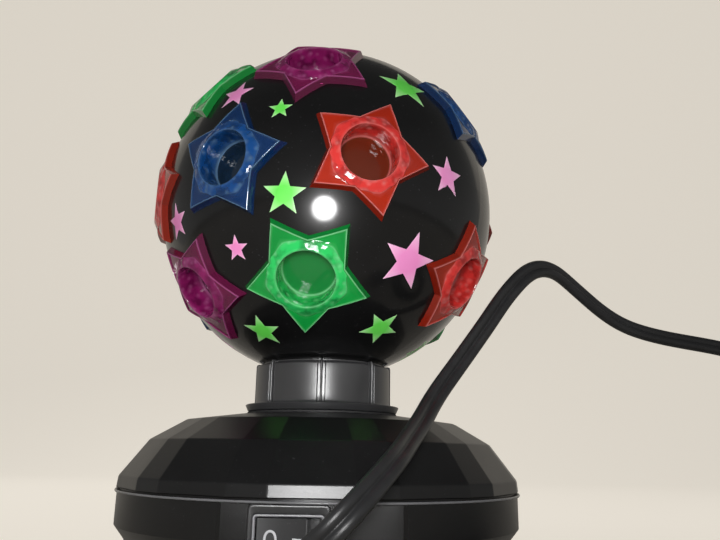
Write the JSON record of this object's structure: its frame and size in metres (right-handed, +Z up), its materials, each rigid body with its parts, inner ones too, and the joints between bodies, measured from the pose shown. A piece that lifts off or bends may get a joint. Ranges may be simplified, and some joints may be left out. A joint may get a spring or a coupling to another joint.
{
  "type": "rotating star-ball lamp",
  "caption": "Table party lamp: a black globe with coloured star lenses turns on a geared collar over a faceted round base with a rocker switch and a flat power cord.",
  "frame": {"origin": "on the table under the middle of the lamp, in the plane of the rubber feet", "axes": "+Z up along the globe's axis of turn, -Y towards the front with the switch, +X to the right seen from the front"},
  "size_m": [0.2499, 0.1665, 0.1909],
  "materials": {
    "black_housing": "moulded black plastic, fine grain, half gloss",
    "black_globe": "polished black plastic",
    "black_collar": "satin black plastic",
    "switch_plastic": "satin black plastic with white marks",
    "black_rubber": "matt moulded rubber",
    "cord_rubber": "satin dark grey-black flexible sheath",
    "ivory_plastic": "natural moulded plastic",
    "zinc_steel": "zinc plated steel",
    "brass": "bright brass",
    "lamp_glass": "clear blown glass",
    "lens_red": "clear tinted plastic",
    "lens_green": "clear tinted plastic",
    "lens_blue": "clear tinted plastic",
    "lens_magenta": "clear tinted plastic"
  },
  "bodies": {
    "base": {"lower_housing": "black_housing", "rubber_feet": "black_rubber", "cover_screws": "zinc_steel", "top_cover": "black_housing", "thrust_washer": "black_collar", "lamp_stem": "zinc_steel", "stem_nuts": "zinc_steel", "lamp_socket": "ivory_plastic", "socket_shell": "brass", "bulb_cap": "zinc_steel", "bulb_glass": "lamp_glass", "gear_motor": "zinc_steel", "motor_screws": "zinc_steel", "switch_body": "switch_plastic", "switch_terminals": "brass", "strain_relief": "cord_rubber", "power_cord": "cord_rubber", "cord_coil": "cord_rubber", "plug_body": "cord_rubber", "plug_blades": "brass"},
    "globe": {"collar": "black_collar", "ring_gear": "ivory_plastic", "gear_clip": "zinc_steel", "globe_front": "black_globe", "globe_rear": "black_globe", "lens_01": "lens_magenta", "lens_02": "lens_green", "lens_03": "lens_blue", "lens_04": "lens_red", "lens_05": "lens_blue", "lens_06": "lens_red", "lens_07": "lens_magenta", "lens_08": "lens_green", "lens_09": "lens_red", "lens_10": "lens_green", "lens_11": "lens_red", "lens_12": "lens_blue", "lens_13": "lens_magenta", "lens_14": "lens_red", "lens_15": "lens_magenta", "lens_16": "lens_blue", "lens_17": "lens_green", "lens_18": "lens_magenta", "lens_19": "lens_blue"},
    "pinion": {"drive_pinion": "ivory_plastic", "motor_shaft": "zinc_steel"},
    "rocker": {"rocker": "switch_plastic"}
  },
  "joints": [
    {"name": "globe_spin", "type": "hinge", "parent": "base", "child": "globe", "pos_m": [0, 0, 0.0512], "axis": [0, 0, 1], "continuous": true},
    {"name": "pinion_spin", "type": "hinge", "parent": "base", "child": "pinion", "pos_m": [0, 0.03615, 0.0452], "axis": [0, 0, 1], "continuous": true},
    {"name": "rocker_press", "type": "hinge", "parent": "base", "child": "rocker", "pos_m": [-0.0058, -0.05902, 0.0213], "axis": [0, 0, 1], "range_deg": [0, 28]}
  ],
  "couplings": [
    {"joint": "pinion_spin", "follows": "globe_spin", "ratio": -5}
  ]
}
